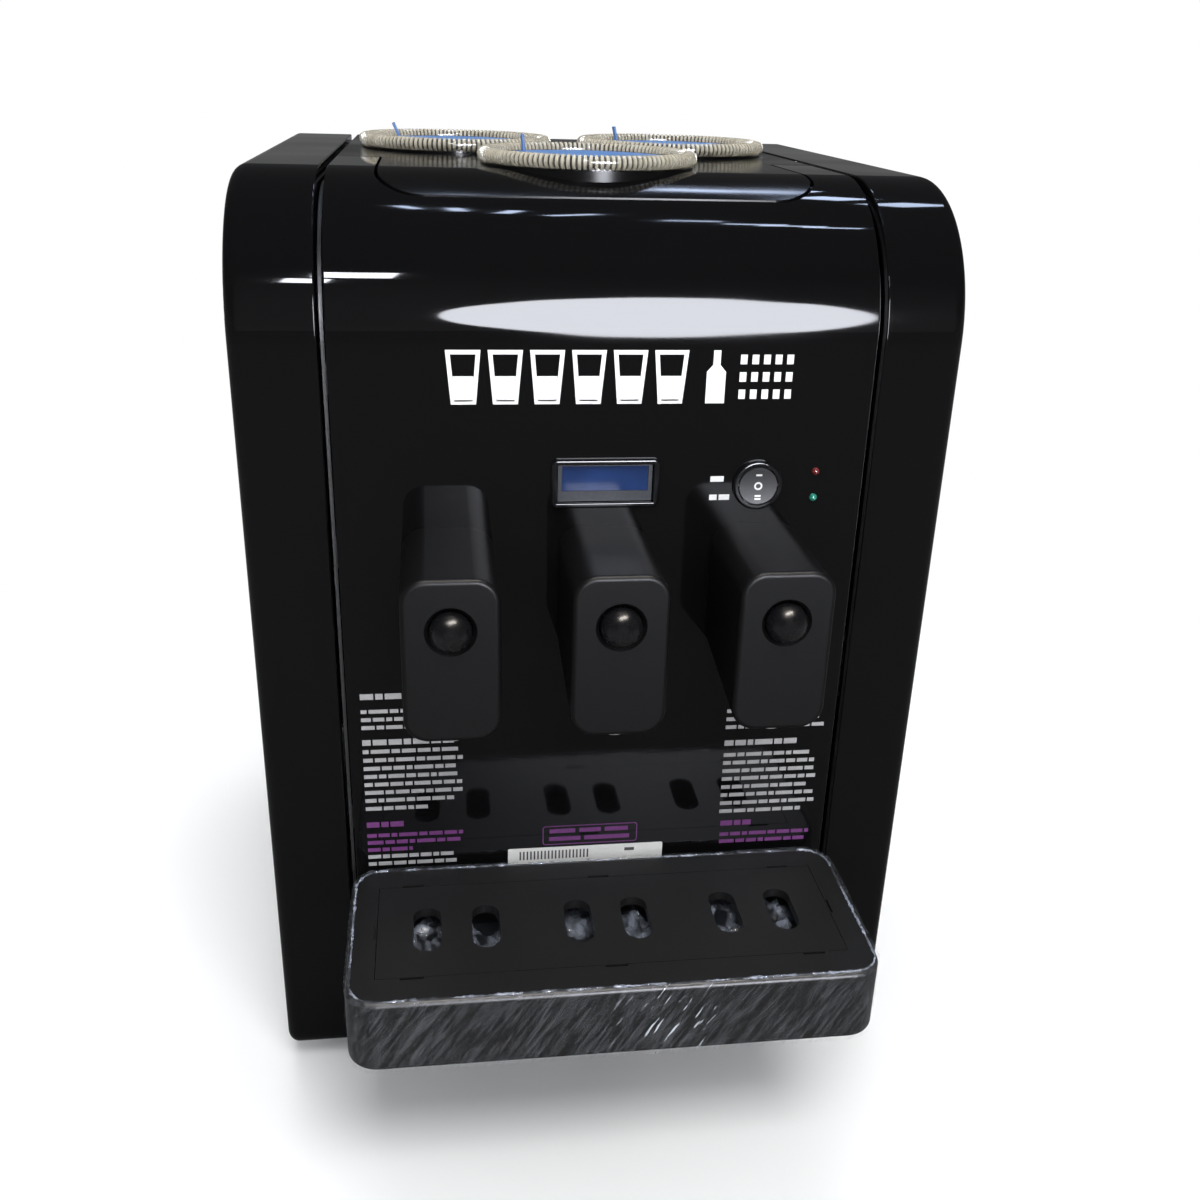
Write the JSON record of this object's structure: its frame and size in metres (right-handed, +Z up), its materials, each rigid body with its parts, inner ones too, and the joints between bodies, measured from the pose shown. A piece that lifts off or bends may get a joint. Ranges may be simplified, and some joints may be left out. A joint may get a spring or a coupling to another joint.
{
  "type": "shot dispenser",
  "caption": "Countertop drink cooler and dispenser: upturned bottles stand in lit rings on top and are tapped through push-button outlets above a drip tray.",
  "frame": {"origin": "on the surface that the feet stand on, in the middle of the outline from the drip tray's front to the rear panel's inlet, on the left-right middle plane", "axes": "+X to the right seen from the front, +Y from the front to the back, +Z up"},
  "size_m": [0.32, 0.4298, 0.4653],
  "materials": {
    "gloss_black": "polished",
    "satin_black": "fine satin",
    "ball_black": "polished",
    "tray_black": "satin",
    "white_ink": "printed",
    "purple_ink": "printed",
    "clear_film": "stretch film",
    "clear_ring": "clear moulded",
    "cap_blue": "satin",
    "bezel_black": "semi-gloss",
    "display_grey": "satin",
    "display_blue": "glossy",
    "rocker_black": "satin",
    "lamp_red": "glossy",
    "lamp_green": "glossy",
    "sheet_steel": "zinc plated",
    "painted_black": "satin paint",
    "stainless": "brushed",
    "copper": "drawn",
    "brass": "turned",
    "aluminium": "as milled",
    "foam": "foam",
    "well_grey": "satin",
    "silicone": "smooth",
    "rubber": "matte",
    "fan_black": "matte",
    "board_green": "lacquered"
  },
  "bodies": {
    "cabinet": {"rubber_feet": "rubber", "base_pan": "sheet_steel", "left_frame": "sheet_steel", "right_frame": "sheet_steel", "well_carrier": "sheet_steel", "block_shelf": "sheet_steel", "left_side_cover": "gloss_black", "right_side_cover": "gloss_black", "front_panel": "gloss_black", "top_cover": "gloss_black", "rear_panel": "painted_black", "cover_screws": "stainless", "bottle_receivers": "stainless", "supply_hoses": "silicone", "chill_block": "aluminium", "evaporator_coil": "copper", "insulation_jacket": "foam", "insulation_lid": "foam", "solenoid_valves": "brass", "tap_nozzles": "stainless", "button_switches": "bezel_black", "display_bezel": "bezel_black", "display_module": "display_grey", "display_glass": "display_blue", "switch_bezel": "bezel_black", "red_lamp": "lamp_red", "green_lamp": "lamp_green", "control_board": "board_green", "tray_brackets": "sheet_steel", "compressor": "painted_black", "compressor_grommets": "rubber", "start_relay": "fan_black", "condenser": "aluminium", "fan_shroud": "fan_black", "fan_motor": "painted_black", "filter_drier": "copper", "refrigerant_lines": "copper", "power_inlet": "fan_black", "bottle_well_front": "well_grey", "light_ring_front": "clear_ring", "bottle_well_left": "well_grey", "light_ring_left": "clear_ring", "bottle_well_right": "well_grey", "light_ring_right": "clear_ring", "tap_housing_left": "satin_black", "button_spring_left": "stainless", "tap_housing_middle": "satin_black", "button_spring_middle": "stainless", "tap_housing_right": "satin_black", "button_spring_right": "stainless"},
    "fan": {"fan_rotor": "fan_black"},
    "mode_rocker": {"switch_rocker": "rocker_black"},
    "tray": {"drip_tray": "tray_black"},
    "grid": {"drip_grid": "tray_black"},
    "front_dust_cover": {"dust_cover_front": "cap_blue"},
    "left_dust_cover": {"dust_cover_left": "cap_blue"},
    "right_dust_cover": {"dust_cover_right": "cap_blue"},
    "left_button": {"push_button_left": "ball_black"},
    "middle_button": {"push_button_middle": "ball_black"},
    "right_button": {"push_button_right": "ball_black"}
  },
  "joints": [
    {"name": "left_button_press", "type": "slide", "parent": "cabinet", "child": "left_button", "axis": [0, 1, 0], "range_m": [0, 0.004], "stiffness_N_per_m": 500, "springref_m": -0.004, "deforming": ["button_spring_left"]},
    {"name": "middle_button_press", "type": "slide", "parent": "cabinet", "child": "middle_button", "axis": [0, 1, 0], "range_m": [0, 0.004], "stiffness_N_per_m": 500, "springref_m": -0.004, "deforming": ["button_spring_middle"]},
    {"name": "right_button_press", "type": "slide", "parent": "cabinet", "child": "right_button", "axis": [0, 1, 0], "range_m": [0, 0.004], "stiffness_N_per_m": 500, "springref_m": -0.004, "deforming": ["button_spring_right"]},
    {"name": "mode_rocker_tilt", "type": "hinge", "parent": "cabinet", "child": "mode_rocker", "pos_m": [0.0698, -0.1137, 0.3226], "axis": [1, 0, 0], "range_deg": [-10, 10]},
    {"name": "fan_spin", "type": "hinge", "parent": "cabinet", "child": "fan", "pos_m": [0, 0.1526, 0.10275], "axis": [0, 1, 0], "continuous": true},
    {"name": "tray_pull", "type": "slide", "parent": "cabinet", "child": "tray", "axis": [0, -1, 0], "range_m": [0, 0.06]},
    {"name": "grid_lift", "type": "slide", "parent": "tray", "child": "grid", "axis": [0, 0, 1], "range_m": [0, 0.04]},
    {"name": "front_dust_cover_lift", "type": "slide", "parent": "cabinet", "child": "front_dust_cover", "axis": [0, 0, 1], "range_m": [0, 0.04]},
    {"name": "left_dust_cover_lift", "type": "slide", "parent": "cabinet", "child": "left_dust_cover", "axis": [0, 0, 1], "range_m": [0, 0.04]},
    {"name": "right_dust_cover_lift", "type": "slide", "parent": "cabinet", "child": "right_dust_cover", "axis": [0, 0, 1], "range_m": [0, 0.04]}
  ]
}
